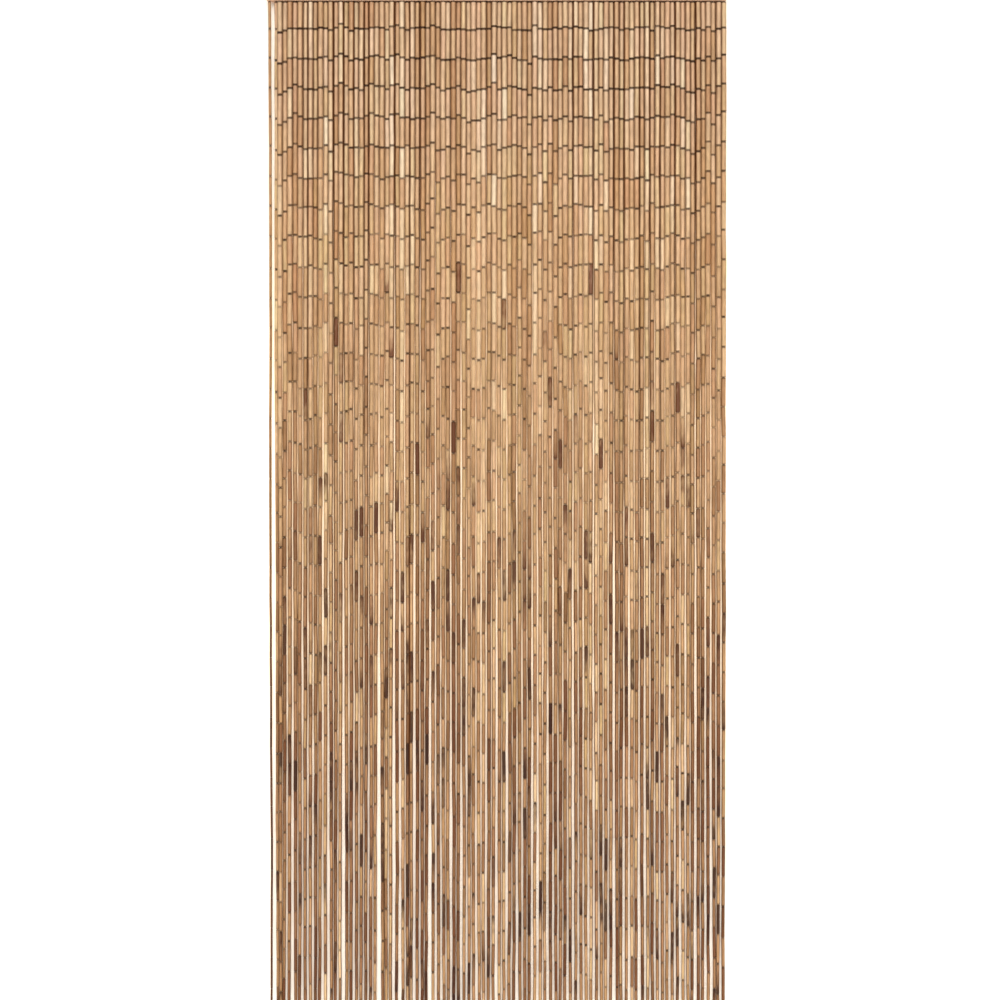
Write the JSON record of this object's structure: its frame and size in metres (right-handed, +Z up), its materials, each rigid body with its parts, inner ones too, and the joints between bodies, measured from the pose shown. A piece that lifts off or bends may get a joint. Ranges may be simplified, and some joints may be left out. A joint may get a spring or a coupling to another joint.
{
  "type": "bamboo door curtain with wooden batten",
  "caption": "String door curtain of bamboo tubes hung side by side from a wooden batten, to screen a doorway that people walk through.",
  "frame": {"origin": "centre of the batten's back face, which goes against the wall over the doorway", "axes": "+Z up, the curtain's front faces -Y, the wall is at +Y, and +X is to the right seen from the front"},
  "size_m": [0.9, 0.018, 2],
  "materials": {
    "batten_wood": "stained and satin",
    "bamboo": "natural bamboo skin, satin"
  },
  "bodies": {
    "root": {"batten": "batten_wood", "strings": "bamboo"}
  },
  "joints": []
}
